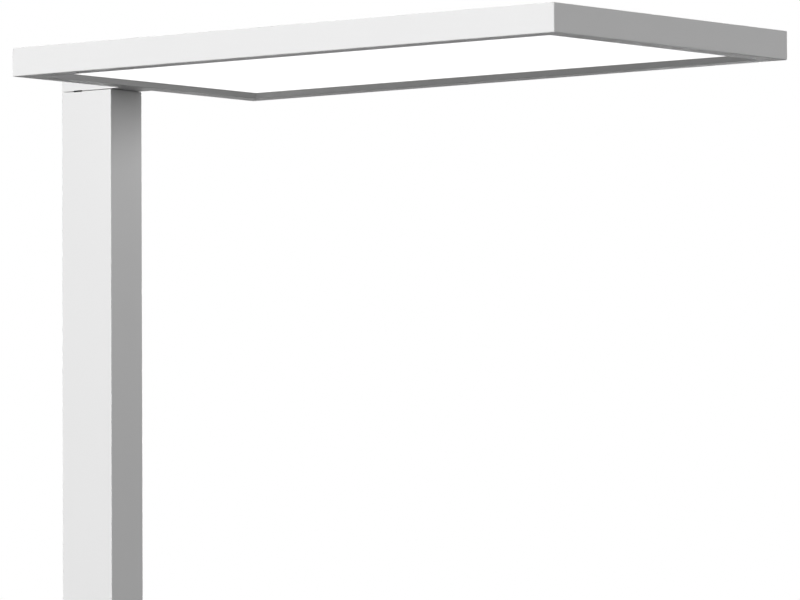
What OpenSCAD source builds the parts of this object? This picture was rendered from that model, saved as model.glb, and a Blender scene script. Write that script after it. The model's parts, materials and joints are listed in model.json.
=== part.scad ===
// Office floor lamp: a thin rectangular panel head that cantilevers from the top of a rectangular column,
// which stands on a flat plate. Millimetres, +Z up, origin on the floor under the middle of the lamp's outline.
// +X runs along the head, away from the column. The lamp is symmetric about y = 0 apart from its wiring.

/* [Overall] */
// Height of the head's top face above the floor
total_h = 1950; // [1800:10:2100]

/* [Head] */
// Length of the head, along X
head_l = 620; // [600:5:680]
// Width of the head, along Y
head_w = 340; // [330:2:360]
// Thickness of the head
head_h = 26; // [26:0.5:30]
// Width of the flat band round the diffuser, seen from below
band_w = 19; // [17:0.5:24]
// Depth of the diffuser behind the band
recess = 5.5; // [4.5:0.5:6]
// Wall of the head's rails
rail_wall = 2; // [1.8:0.1:2.4]
// Gap between the column's face and the head's end, bridged by the neck
neck_gap = 11; // [8:1:14]
// Light emitting diodes along each long edge of the light guide
edge_led_n = 40; // [20:2:60]
// Light emitting diodes on each uplight board
up_led_n = 22; // [12:2:36]
// Length of the window for the uplight in the top cover
window_l = 470; // [380:10:480]
// Width of the window for the uplight in the top cover
window_w = 150; // [120:5:180]

/* [Column] */
// Column section along X
col_x = 60; // [58:1:66]
// Column section along Y
col_y = 44; // [43:1:50]
// Wall of the column
col_wall = 2.5; // [2:0.25:2.5]
// Radius of the column's vertical edges
col_r = 0.8; // [0.5:0.1:2]
// Height of the middle push button above the floor
control_z = 1120; // [900:10:1250]
// Travel of a push button
button_travel = 0.5; // [0.3:0.05:0.55]

/* [Swivel] */
// Outer radius of the hollow swivel shaft
shaft_r = 11; // [10.5:0.1:11]
// Radial running clearance of the shaft in its bushes
run_fit = 0.05; // [0.02:0.01:0.08]
// Shadow gap between the neck and the column's top edge
shadow_gap = 0.6; // [0.4:0.1:0.8]
// Width of the lever notch in the joint's front edge
notch_w = 10; // [8:1:14]

/* [Base] */
// Length of the base plate, along X
base_l = 480; // [440:10:560]
// Width of the base plate, along Y
base_w = 300; // [260:10:320]
// Thickness of the base plate
base_t = 8; // [8:1:12]
// How far the base plate reaches behind the column
base_back = 20; // [10:1:40]
// Height that the glides lift the base plate off the floor
glide_h = 3; // [2:0.5:5]

/* [Hidden] */
$fn = 48;

// positions along X
xc  = (base_back - neck_gap - head_l) / 2;   // column axis, so that the whole lamp is centred on x = 0
cx0 = xc - col_x / 2;                        // column's rear face
cx1 = xc + col_x / 2;                        // column's face under the head
hx0 = cx1 + neck_gap;                        // head's column end
hx1 = hx0 + head_l;                          // head's outer end
hxm = (hx0 + hx1) / 2;
bx0 = cx0 - base_back;                       // base plate's rear edge
hw  = head_w / 2;
cw  = col_y / 2;
// heights
hz   = total_h - head_h;                     // head's underside
ct   = hz - shadow_gap;                      // column's top edge
pz   = glide_h;                              // base plate's underside
cz0  = glide_h + base_t;                     // column's foot
foot_h = 50;
inlet_z = cz0 + 84;
drv_z0 = cz0 + 119;                          // driver
drv_l  = 280;
sled_z0 = drv_z0 - 18;
sled_z1 = drv_z0 + drv_l + 30;
drv_screw_z = [drv_z0 - 3.3, drv_z0 + drv_l + 3.3];
// head's stack, above the head's underside
z_dif = recess;          dif_t = 2;
z_lgp = z_dif + dif_t;   lgp_t = 4;
z_ref = z_lgp + lgp_t;   ref_t = 0.5;
z_foam = z_ref + ref_t;  foam_t = 1.5;
z_car = z_foam + foam_t; car_t = 1.5;        // carrier plate, on the rails' ribs
z_top = z_car + car_t;
rib_t = 1;
cover_t = 1.5;
ledge_w = 10;
ledge_t = 1.5;
z_ledge = head_h - cover_t - ledge_t;        // underside of the rails' ledge
wire_x = hx0 + 81;                           // where the wires to the long edges cross the carrier plate
// swivel
bore_r = 13;                                 // bore of the housing
bush_flange_r = 15;
groove_r = 17.5;                             // pitch radius of the stop groove and its pin
pin_r = 1.6;
screw_r = 13.6;                              // pitch radius of the screws through the shaft's flange
swing = 90;                                  // the stop groove lets the head swing this far each way
house_h = 80;
th = 1.0;                                    // thickness of a bush's flange
notch_x = cx0 + 20;                          // middle of the lever notch, half of it in each edge of the joint
notch_d = 1.5;
// control unit
fx = cx1;
ctl_w = 20; ctl_h = 86;                      // slot in the column
btn_pitch = 26;

module bx(x0, x1, y0, y1, z0, z1) { translate([x0, y0, z0]) cube([x1 - x0, y1 - y0, z1 - z0]); }
module cz(x, y, z0, z1, r) { translate([x, y, z0]) cylinder(r = r, h = z1 - z0); }
module cxx(x0, x1, y, z, r) { translate([x0, y, z]) rotate([0, 90, 0]) cylinder(r = r, h = x1 - x0); }
module cyy(x, y0, y1, z, r) { translate([x, y0, z]) rotate([-90, 0, 0]) cylinder(r = r, h = y1 - y0); }
// cone from radius ra at a to radius rb at b
module conez(x, y, za, zb, ra, rb) { translate([x, y, za]) cylinder(r1 = ra, r2 = rb, h = zb - za); }
module conex(xa, xb, y, z, ra, rb) { translate([xa, y, z]) rotate([0, 90, 0]) cylinder(r1 = ra, r2 = rb, h = xb - xa); }
module rrect2(x, y, r) {
  square([x - 2 * r, y], center = true);
  square([x, y - 2 * r], center = true);
  for (sx = [-1, 1], sy = [-1, 1]) translate([sx * (x / 2 - r), sy * (y / 2 - r)]) circle(r = r);
}
// stadium with its long side along the second axis
module stadium2(w, h) {
  square([w, h - w], center = true);
  for (s = [-1, 1]) translate([0, s * (h - w) / 2]) circle(r = w / 2);
}
// a stadium plate square to X, from x0 to x1, centred on y = 0, z = control_z
module stadx(x0, x1, w, h) { translate([x0, 0, control_z]) rotate([90, 0, 90]) linear_extrude(x1 - x0) stadium2(w, h); }

// ---------------------------------------------------------------- base
foot_bolts = [for (sx = [-17, 17], sy = [-9.5, 9.5]) [xc + sx, sy]];
glide_at = [for (x = [bx0 + 32, bx0 + base_l - 32], sy = [-1, 1]) [x, sy * (base_w / 2 - 32)]];

module base_plate() color("whitesmoke") difference() {
  translate([bx0 + base_l / 2, 0, pz]) linear_extrude(base_t) rrect2(base_l, base_w, 4);
  for (p = foot_bolts) {
    cz(p[0], p[1], pz - 1, cz0 + 1, 4.3);
    conez(p[0], p[1], pz - 0.01, pz + 4.4, 8.7, 4.3);
  }
  for (p = glide_at) cz(p[0], p[1], pz - 1, pz + 5, 3);
}
module glides() color("dimgray") for (p = glide_at) {
  cz(p[0], p[1], 0, pz, 14);
  cz(p[0], p[1], pz, pz + 4.5, 2.95);
}
module base_screws() color("silver") for (p = foot_bolts) difference() {
  union() {
    conez(p[0], p[1], pz + 0.2, pz + 4.4, 8.2, 4);
    cz(p[0], p[1], pz + 4.4, cz0 + 24, 3.95);
  }
  translate([p[0], p[1], pz]) cylinder(r = 2.9, h = 2.6, $fn = 6);
}

// ---------------------------------------------------------------- column
rear_screw_z = [cz0 + 20, cz0 + 40, sled_z0 + 6, sled_z1 - 8, hz - 62, hz - 22];
module column_foot() color("gray") difference() {
  bx(cx0 + col_wall + 0.1, cx1 - col_wall - 0.1, -cw + col_wall + 0.1, cw - col_wall - 0.1, cz0, cz0 + foot_h);
  for (p = foot_bolts) cz(p[0], p[1], cz0 - 1, cz0 + 26, 4);
  for (i = [0, 1]) cxx(cx0, cx0 + 13, 0, rear_screw_z[i], 2.5);
}
module rear_screw(z, depth) difference() {
  union() {
    conex(cx0 + 0.05, cx0 + 2.2, 0, z, 4.6, 2.45);
    cxx(cx0 + 2.2, cx0 + depth, 0, z, 2.45);
  }
  translate([cx0 - 1, 0, z]) rotate([0, 90, 0]) cylinder(r = 1.7, h = 2.8, $fn = 6);
}
module foot_screws() color("silver") for (i = [0, 1]) rear_screw(rear_screw_z[i], 12);
module column_tube() color("whitesmoke") difference() {
  translate([xc, 0, cz0]) linear_extrude(ct - cz0) rrect2(col_x, col_y, col_r);
  bx(cx0 + col_wall, cx1 - col_wall, -cw + col_wall, cw - col_wall, cz0 - 1, ct + 1);
  bx(cx0 - 1, cx0 + col_wall + 1, -13.5, 13.5, inlet_z - 10, inlet_z + 10);
  stadx(cx1 - col_wall - 1, cx1 + 1, ctl_w, ctl_h);
  bx(notch_x - notch_w / 2, notch_x + notch_w / 2, -cw - 1, -cw + notch_d, ct - 0.5, ct + 1);
  for (z = rear_screw_z) {
    cxx(cx0 - 1, cx0 + col_wall + 1, 0, z, 2.5);
    conex(cx0 - 0.05, cx0 + 2.25, 0, z, 4.8, 2.5);
  }
}

// ---------------------------------------------------------------- mains inlet, driver and its leads
module inlet_socket2() difference() {
  square([24.5, 16.4], center = true);
  for (s = [-1, 1]) translate([s * 12.25, 8.2]) rotate(45) square([5, 5], center = true);
}
module power_inlet() color("black") difference() {
  union() {
    translate([cx0 - 2, 0, inlet_z]) rotate([90, 0, 90]) linear_extrude(2) rrect2(31, 24, 2);
    bx(cx0, cx0 + 18, -13.3, 13.3, inlet_z - 9.8, inlet_z + 9.8);
  }
  translate([cx0 - 3, 0, inlet_z]) rotate([90, 0, 90]) linear_extrude(17.5) inlet_socket2();
  for (y = [-7, 0, 7]) bx(cx0 + 13, cx0 + 20, y - 1.02, y + 1.02, inlet_z - 2.02 + (y == 0 ? 2 : -2), inlet_z + 2.02 + (y == 0 ? 2 : -2));
}
module inlet_pins() color("silver") for (y = [-7, 0, 7])
  bx(cx0 + 3, cx0 + 18, y - 1, y + 1, inlet_z - 2 + (y == 0 ? 2 : -2), inlet_z + 2 + (y == 0 ? 2 : -2));
module mains_lead() color("dimgray") {
  bx(cx0 + 18, cx0 + 27, -11, 11, inlet_z - 8, inlet_z + 8);
  cz(cx0 + 22.5, 0, inlet_z + 8, drv_z0, 3);
}
module driver_sled() color("silver") difference() {
  union() {
    bx(cx0 + col_wall, cx0 + col_wall + 1.5, -17, 17, sled_z0, sled_z1);
    for (i = [2, 3]) cxx(cx0 + col_wall + 1.5, cx0 + 9, 0, rear_screw_z[i], 4.5);
  }
  for (i = [2, 3]) cxx(cx0, cx0 + 10, 0, rear_screw_z[i], 2.5);
  for (z = drv_screw_z) cxx(cx0, cx0 + 10, 0, z, 1.5);
}
module sled_screws() color("silver") for (i = [2, 3]) rear_screw(rear_screw_z[i], 9.6);
drv_x = cx0 + col_wall + 1.5;
module led_driver() color("ghostwhite") difference() {
  union() {
    translate([(drv_x + cx0 + 34) / 2, 0, drv_z0]) linear_extrude(drv_l) rrect2(cx0 + 34 - drv_x, 21, 1.5);
    bx(drv_x, drv_x + 1.5, -6, 6, drv_z0 - 6.5, drv_z0 + drv_l + 6.5);
  }
  for (z = drv_screw_z) cxx(drv_x - 1, drv_x + 3, 0, z, 1.7);
  // wire entries for the light's lead at the top, set back from the case's end
  for (y = [-7.5, 7.5]) cz(cx0 + 12, y, drv_z0 + drv_l - 9, drv_z0 + drv_l + 1, 1.6);
  for (y = [-7.5, 7.5]) cz(cx0 + 12, y, drv_z0 - 1, drv_z0 + 9, 1.6);
}
module driver_screws() color("silver") for (z = drv_screw_z) {
  cxx(cx0 + col_wall + 0.1, drv_x + 1.5, 0, z, 1.45);
  cxx(drv_x + 1.5, drv_x + 3.3, 0, z, 2.8);
}

// ---------------------------------------------------------------- control unit
module control_bezel() color("lightgray") difference() {
  union() {
    stadx(fx, fx + 1.5, 26, 92);
    stadx(fx - 11, fx, ctl_w - 0.4, ctl_h - 0.4);
    // barbs that snap behind the column's wall
    for (s = [0, 1]) translate([0, 5, control_z]) mirror([0, 0, s]) rotate([90, 0, 0]) linear_extrude(10)
      polygon([[fx - col_wall - 0.05, ctl_h / 2 - 1], [fx - col_wall - 0.05, ctl_h / 2 + 1], [fx - col_wall - 4, ctl_h / 2 - 0.2], [fx - col_wall - 4, ctl_h / 2 - 1]]);
  }
  stadx(fx - 12, fx - 2, ctl_w - 3.4, ctl_h - 3.4);
  for (i = [-1, 0, 1]) cxx(fx - 3, fx + 2, 0, control_z + i * btn_pitch, 7.2);
}
module control_board() {
  color("green") stadx(fx - 12.6, fx - 11, ctl_w - 0.4, ctl_h - 0.4);
  color("black") bx(fx - 13.8, fx - 12.6, -4, 4, control_z + 6, control_z + 14);
  color("ivory") bx(fx - 15, fx - 12.6, 2.2, 8.2, control_z - 29.5, control_z - 24);
  color("silver") for (z = [-14, -6, 20, 24]) bx(fx - 13.4, fx - 12.6, -5, -3.4, control_z + z, control_z + z + 2.4);
}
module tact_switches() color("black") for (i = [-1, 0, 1]) difference() {
  bx(fx - 11, fx - 7.5, -3, 3, control_z + i * btn_pitch - 3, control_z + i * btn_pitch + 3);
  cxx(fx - 8.7 - button_travel, fx - 7, 0, control_z + i * btn_pitch, 1.7);
}
module control_back() color("lightgray") difference() {
  stadx(fx - 17, fx - 12.6, ctl_w - 0.4, ctl_h - 0.4);
  stadx(fx - 15.5, fx - 12, ctl_w - 3.4, ctl_h - 3.4);
  bx(fx - 18, fx - 15, 3, 7.4, control_z - 31, control_z - 29);
}
module control_lead() color("gray") {
  bx(fx - 20, fx - 12.6, 3.2, 7.2, control_z - 30.5, control_z - 29.5);
  bx(fx - 20, fx - 19, 3.2, 7.2, drv_z0 + drv_l + 5, control_z - 29.5);
  bx(cx0 + 21, fx - 19, 3.2, 7.2, drv_z0 + drv_l + 5, drv_z0 + drv_l + 6);
  bx(cx0 + 21, cx0 + 22, 3.2, 7.2, drv_z0 + drv_l, drv_z0 + drv_l + 6);
}
module button_cap(i) translate([0, 0, control_z + i * btn_pitch]) {
  cxx(fx - 3.2, fx + 2.1, 0, 0, 7.1);
  cxx(fx - 3.2, fx - 2.05, 0, 0, 8);
  cxx(fx - 6, fx - 3.2, 0, 0, 1.6);
}
module plunger(i) cxx(fx - 8.4, fx - 6, 0, control_z + i * btn_pitch, 1.6);
module button_brighter() color("white") button_cap(1);
module button_power() color("white") button_cap(0);
module button_dimmer() color("white") button_cap(-1);
module plunger_brighter() color("black") plunger(1);
module plunger_power() color("black") plunger(0);
module plunger_dimmer() color("black") plunger(-1);

// ---------------------------------------------------------------- swivel, column side
module swivel_housing() color("silver") difference() {
  bx(cx0 + col_wall + 0.1, cx1 - col_wall - 0.1, -cw + col_wall + 0.1, cw - col_wall - 0.1, hz - th - house_h, hz - th);
  cz(xc, 0, hz - th - house_h - 1, hz, bore_r);
  cz(xc - groove_r, 0, hz - th - 10, hz, pin_r);
  for (i = [4, 5]) cxx(cx0, cx0 + 12, 0, rear_screw_z[i], 2.5);
}
module housing_screws() color("silver") for (i = [4, 5]) rear_screw(rear_screw_z[i], 11);
module upper_bush() color("black") difference() {
  union() {
    cz(xc, 0, hz - th - 20, hz - th, bore_r);
    cz(xc, 0, hz - th, hz - 0.02, bush_flange_r);
  }
  cz(xc, 0, hz - 30, hz + 1, shaft_r + run_fit);
}
module lower_bush() color("black") difference() {
  union() {
    cz(xc, 0, hz - th - house_h, hz - th - house_h + 20, bore_r);
    cz(xc, 0, hz - 2 * th - house_h, hz - th - house_h, bush_flange_r);
  }
  cz(xc, 0, hz - 2 * th - house_h - 1, hz - house_h + 30, shaft_r + run_fit);
}
module stop_pin() color("silver") cz(xc - groove_r, 0, hz - th - 10, hz + 3.5, pin_r);

// ---------------------------------------------------------------- neck and swivel shaft, head side
nz_floor = 6;
neck_screw_at = [for (sy = [-13, 13], z = [11, 18.5]) [sy, z]];
lead_z = z_top + 3.5;                        // height of the head's lead above the head's underside
module neck() color("whitesmoke") difference() {
  bx(cx0, hx0, -cw, cw, hz, total_h);
  difference() {
    bx(cx0 + 4.5, hx0 - 4.5, -cw + 4.5, cw - 4.5, hz + nz_floor, total_h - 2);
    cz(cx0 + 8, 0, hz, total_h, 4);
  }
  bx(cx0 + 3, hx0 - 3, -cw + 3, cw - 3, total_h - 2, total_h + 1);
  cz(cx0 + 8, 0, total_h - 12, total_h, 1.5);
  bx(notch_x - notch_w / 2, notch_x + notch_w / 2, -cw - 1, -cw + notch_d, hz - 1, hz + 0.5);
  cz(xc, 0, hz - 1, hz + nz_floor + 1, shaft_r + 0.05);
  // arc groove for the stop pin
  translate([xc, 0, hz - 1]) rotate(180 - swing) rotate_extrude(angle = 2 * swing) translate([groove_r - 1.8, 0]) square([3.6, 5]);
  for (a = [180 - swing, 180 + swing]) cz(xc + groove_r * cos(a), groove_r * sin(a), hz - 1, hz + 4, 1.8);
  for (a = [45, 135, 225, 315]) cz(xc + screw_r * cos(a), screw_r * sin(a), hz + 1.5, hz + nz_floor + 1, 1.25);
  for (p = neck_screw_at) cxx(hx0 - 6, hx0 + 1, p[0], hz + p[1], 2.1);
  cxx(hx0 - 6, hx0 + 1, 0, hz + lead_z, 3.2);
}
module neck_cap() color("whitesmoke") difference() {
  bx(cx0 + 3.2, hx0 - 3.2, -cw + 3.2, cw - 3.2, total_h - 2, total_h);
  cz(cx0 + 8, 0, total_h - 3, total_h + 1, 1.7);
  conez(cx0 + 8, 0, total_h - 1.35, total_h + 0.05, 1.7, 3.1);
}
module cap_screw() color("silver") difference() {
  union() {
    conez(cx0 + 8, 0, total_h - 1.3, total_h - 0.05, 1.6, 2.9);
    cz(cx0 + 8, 0, total_h - 10, total_h - 1.3, 1.45);
  }
  translate([cx0 + 8, 0, total_h - 1.2]) cylinder(r = 1.15, h = 2, $fn = 6);
}
module swivel_shaft() color("silver") difference() {
  union() {
    cz(xc, 0, hz - house_h - 16, hz + nz_floor, shaft_r);
    cz(xc, 0, hz + nz_floor, hz + nz_floor + 4, 16.5);
  }
  cz(xc, 0, hz - house_h - 17, hz + nz_floor + 5, 6);
  for (a = [45, 135, 225, 315]) cz(xc + screw_r * cos(a), screw_r * sin(a), hz + nz_floor - 1, hz + nz_floor + 5, 1.3);
}
module shaft_screws() color("silver") for (a = [45, 135, 225, 315]) {
  cz(xc + screw_r * cos(a), screw_r * sin(a), hz + 2, hz + nz_floor + 4, 1.2);
  cz(xc + screw_r * cos(a), screw_r * sin(a), hz + nz_floor + 4, hz + nz_floor + 5.6, 2.3);
}
sw0 = hz - 2 * th - house_h - 0.02;          // underside of the lower bush's flange
module friction_washer() color("orange") difference() {
  cz(xc, 0, sw0 - 1, sw0, 16);
  cz(xc, 0, sw0 - 2, sw0 + 1, shaft_r + 0.1);
}
module disc_springs() color("silver") translate([xc, 0, sw0 - 4]) rotate_extrude() {
  polygon([[shaft_r + 0.2, 0], [16, 0.8], [16, 1.5], [shaft_r + 0.2, 0.7]]);
  polygon([[16, 1.5], [shaft_r + 0.2, 2.3], [shaft_r + 0.2, 3], [16, 2.2]]);
}
module swivel_nut() color("silver") difference() {
  translate([xc, 0, sw0 - 12]) cylinder(r = 17, h = 8, $fn = 6);
  cz(xc, 0, sw0 - 13, sw0 - 3, shaft_r);
}

// ---------------------------------------------------------------- head frame
// rail section: u runs inwards from the outer face, z up from the head's underside
function rail_pts(rib) = concat(
  [[0, 0], [band_w, 0], [band_w, recess], [band_w - 1.5, recess], [band_w - 1.5, 2], [rail_wall, 2]],
  rib ? [[rail_wall, z_car - rib_t], [rail_wall + 3, z_car - rib_t], [rail_wall + 3, z_car], [rail_wall, z_car]] : [],
  [[rail_wall, z_ledge], [ledge_w, z_ledge], [ledge_w, z_ledge + ledge_t], [rail_wall, z_ledge + ledge_t], [rail_wall, head_h], [0, head_h]]);
cover_screw_key = [for (sx = [0, 1], sy = [-1, 1], k = [0, 1])
  [sx == 0 ? hx0 + (k == 0 ? 32 : 6) : hx1 - (k == 0 ? 32 : 6), sy * (hw - (k == 0 ? 6 : 32))]];
cover_screw_mid = [for (x = [hx0 + head_l * 0.36, hx0 + head_l * 0.64], sy = [-1, 1]) [x, sy * (hw - 6)]];
module long_rail() difference() {
  translate([hx0, -hw, hz]) rotate([90, 0, 90]) linear_extrude(head_l) polygon(rail_pts(true));
  translate([hx0, -hw, hz - 1]) rotate(45) translate([-10, 0, 0]) cube([60, 40, head_h + 2]);
  translate([hx1, -hw, hz - 1]) rotate(45) translate([0, -10, 0]) cube([40, 60, head_h + 2]);
  bx(wire_x - 4, wire_x + 4, -hw + rail_wall, -hw + rail_wall + 4, hz + z_car - 2, hz + z_car + 0.5);
  for (p = concat(cover_screw_key, cover_screw_mid)) if (p[1] < -hw + 10) cz(p[0], p[1], hz + z_ledge - 1, total_h - 1, 1.5);
}
module rail_front() color("whitesmoke") long_rail();
module rail_rear() color("whitesmoke") mirror([0, 1, 0]) long_rail();
module end_rail() difference() {
  translate([hx0, hw, hz]) rotate([90, 0, 0]) linear_extrude(head_w) polygon(rail_pts(false));
  translate([hx0, -hw, hz - 1]) rotate(45) translate([-10, -40, 0]) cube([60, 40, head_h + 2]);
  translate([hx0, hw, hz - 1]) rotate(-45) translate([-10, 0, 0]) cube([60, 40, head_h + 2]);
  for (p = cover_screw_key) if (p[0] < hx0 + 10) cz(p[0], p[1], hz + z_ledge - 1, total_h - 1, 1.5);
}
module rail_column_end() color("whitesmoke") difference() {
  end_rail();
  for (p = neck_screw_at) cxx(hx0 - 1, hx0 + 3, p[0], hz + p[1], 2.1);
  cxx(hx0 - 1, hx0 + 3, 0, hz + lead_z, 3.2);
}
module rail_outer_end() color("whitesmoke") translate([hxm, 0, 0]) mirror([1, 0, 0]) translate([-hxm, 0, 0]) end_rail();
module corner_keys() color("silver") for (sx = [0, 1], sy = [0, 1])
  translate([hxm, 0, 0]) mirror([sx, 0, 0]) translate([-hxm, 0, 0]) mirror([0, sy, 0]) difference() {
    union() {
      bx(hx0 + rail_wall, hx0 + 42, -hw + rail_wall, -hw + ledge_w, hz + z_top, hz + z_ledge);
      bx(hx0 + rail_wall, hx0 + ledge_w, -hw + rail_wall, -hw + 42, hz + z_top, hz + z_ledge);
    }
    cz(hx0 + 32, -hw + 6, hz + z_top - 1, total_h, 1.5);
    cz(hx0 + 6, -hw + 32, hz + z_top - 1, total_h, 1.5);
  }
module head_bracket() color("silver") difference() {
  union() {
    bx(hx0 + rail_wall, hx0 + rail_wall + 3, -70, 70, hz + 2, hz + z_ledge);
    for (s = [-1, 1]) bx(hx0 + rail_wall + 3, hx0 + 75, s < 0 ? -70 : 15, s < 0 ? -15 : 70, hz + z_top, hz + z_top + 3);
  }
  for (p = neck_screw_at) cxx(hx0 + 1, hx0 + 6, p[0], hz + p[1], 2.05);
  cxx(hx0 + 1, hx0 + 6, 0, hz + lead_z, 3.2);
  for (x = [25, 60], s = [-42, 42]) cz(hx0 + x, s, hz + z_top - 1, hz + z_top + 4, 2.1);
}
module bracket_screws() color("silver") for (x = [25, 60], s = [-42, 42]) {
  cz(hx0 + x, s, hz + z_car - 1, hz + z_top + 3, 1.95);
  cz(hx0 + x, s, hz + z_top + 3, hz + z_top + 5.2, 3.8);
}
module neck_screws() color("silver") for (p = neck_screw_at) {
  cxx(hx0 - 4.5, hx0 + 6.5, p[0], hz + p[1], 1.95);
  cxx(hx0 - 7.3, hx0 - 4.5, p[0], hz + p[1], 3.4);
}

// ---------------------------------------------------------------- inside the head
module carrier_plate() color("silver") difference() {
  bx(hx0 + rail_wall + 3.2, hx1 - rail_wall - 0.2, -hw + rail_wall + 0.2, hw - rail_wall - 0.2, hz + z_car, hz + z_top);
  for (x = [25, 60], s = [-42, 42]) cz(hx0 + x, s, hz + z_car - 1, hz + z_top + 1, 2);
  for (s = [-1, 1]) cz(wire_x, s * (hw - 4), hz + z_car - 1, hz + z_top + 1, 1.2);
}
module foam_strips() color("gray") for (y = [-100, 0, 100]) bx(hx0 + 40, hx1 - 40, y - 5, y + 5, hz + z_foam, hz + z_car);
module reflector_sheet() color("white") bx(hx0 + 12, hx1 - 12, -hw + 5.5, hw - 5.5, hz + z_ref, hz + z_foam);
module light_guide() color("azure") bx(hx0 + 12, hx1 - 12, -hw + 5.5, hw - 5.5, hz + z_lgp, hz + z_ref);
module diffuser() color("white") bx(hx0 + 12, hx1 - 12, -hw + 15, hw - 15, hz + z_dif, hz + z_lgp);
module edge_led_strips() for (s = [0, 1]) mirror([0, s, 0]) {
  color("white") bx(hx0 + 20, hx1 - 20, -hw + rail_wall, -hw + rail_wall + 1.2, hz + z_dif + 1, hz + z_car - rib_t - 0.1);
  color("gold") for (i = [0 : edge_led_n - 1])
    bx(hx0 + 26 + i * (head_l - 55) / (edge_led_n - 1), hx0 + 29 + i * (head_l - 55) / (edge_led_n - 1),
       -hw + rail_wall + 1.2, -hw + rail_wall + 2.2, hz + z_lgp + 0.6, hz + z_lgp + 3.4);
}
module uplight_boards() for (s = [-1, 1]) {
  color("white") bx(hxm - 220, hxm + 220, s * 38 - 8, s * 38 + 8, hz + z_top, hz + z_top + 1.6);
  color("gold") for (i = [0 : up_led_n - 1])
    bx(hxm - 211.5 + i * 420 / (up_led_n - 1), hxm - 208.5 + i * 420 / (up_led_n - 1), s * 38 - 1.5, s * 38 + 1.5, hz + z_top + 1.6, hz + z_top + 2.4);
}
module uplight_lens() color("white") {
  bx(hxm - window_l / 2 - 8, hxm + window_l / 2 + 8, -window_w / 2 - 8, window_w / 2 + 8, total_h - cover_t - 2, total_h - cover_t);
  bx(hxm - window_l / 2 + 0.3, hxm + window_l / 2 - 0.3, -window_w / 2 + 0.3, window_w / 2 - 0.3, total_h - cover_t, total_h);
}
module top_cover() color("whitesmoke") difference() {
  bx(hx0 + rail_wall + 0.2, hx1 - rail_wall - 0.2, -hw + rail_wall + 0.2, hw - rail_wall - 0.2, total_h - cover_t, total_h);
  bx(hxm - window_l / 2, hxm + window_l / 2, -window_w / 2, window_w / 2, total_h - cover_t - 1, total_h + 1);
  for (p = concat(cover_screw_key, cover_screw_mid)) {
    cz(p[0], p[1], total_h - 3, total_h + 1, 1.6);
    conez(p[0], p[1], total_h - 1.35, total_h + 0.05, 1.6, 3.0);
  }
}
module cover_screws() color("silver") {
  for (p = concat(cover_screw_key, cover_screw_mid)) difference() {
    union() {
      conez(p[0], p[1], total_h - 1.3, total_h - 0.05, 1.5, 2.8);
      cz(p[0], p[1], total_h - 5, total_h - 1.3, 1.45);
    }
    translate([p[0], p[1], total_h - 1.1]) cylinder(r = 1.15, h = 2, $fn = 6);
  }
  for (p = cover_screw_key) cz(p[0], p[1], total_h - 9, total_h - 5, 1.45);
}
module head_terminal() color("ivory") difference() {
  bx(hx0 + 79, hx0 + 101, -8, 8, hz + z_top, hz + z_top + 7);
  for (x = [84, 90, 96], y = [-3.6, 3.6]) cz(hx0 + x, y, hz + z_top + 3.5, hz + z_top + 8, 1.6);
}
// lead from the driver, up the column and the hollow shaft, round a bend in the neck and into the head
bend_r = 8;
module head_lead() color("dimgray") {
  cz(xc, 0, drv_z0 + drv_l, hz + lead_z - bend_r, 2);
  translate([xc + bend_r, 0, hz + lead_z - bend_r]) rotate([90, 0, 0]) rotate(90) rotate_extrude(angle = 90) translate([bend_r, 0]) circle(r = 2);
  cxx(xc + bend_r, hx0 + 79, 0, hz + lead_z, 2);
}
module head_wires() color("red") for (s = [0, 1]) mirror([0, s, 0]) {
  for (x = [94, 98]) cyy(hx0 + x, 8, 30, hz + z_top + 0.8, 0.8);
  cyy(wire_x, 8, hw - 4, hz + z_top + 0.8, 0.8);
  cz(wire_x, hw - 4, hz + z_lgp + 3.45, hz + z_top + 0.8, 0.8);
}

base_plate();
glides();
base_screws();
column_foot();
foot_screws();
column_tube();
power_inlet();
inlet_pins();
mains_lead();
driver_sled();
sled_screws();
led_driver();
driver_screws();
control_bezel();
control_board();
tact_switches();
control_back();
control_lead();
swivel_housing();
housing_screws();
upper_bush();
lower_bush();
stop_pin();
button_power();
plunger_power();
button_brighter();
plunger_brighter();
button_dimmer();
plunger_dimmer();
neck();
neck_cap();
cap_screw();
swivel_shaft();
shaft_screws();
friction_washer();
disc_springs();
swivel_nut();
rail_front();
rail_rear();
rail_column_end();
rail_outer_end();
corner_keys();
head_bracket();
bracket_screws();
neck_screws();
carrier_plate();
foam_strips();
reflector_sheet();
light_guide();
diffuser();
edge_led_strips();
uplight_boards();
uplight_lens();
top_cover();
cover_screws();
head_terminal();
head_lead();
head_wires();
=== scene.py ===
"""The looks of an office floor lamp: a thin lit panel head on a rectangular column that stands on a flat plate."""

import json
import math

import bmesh
import bpy
from mathutils import Matrix, Vector

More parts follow.
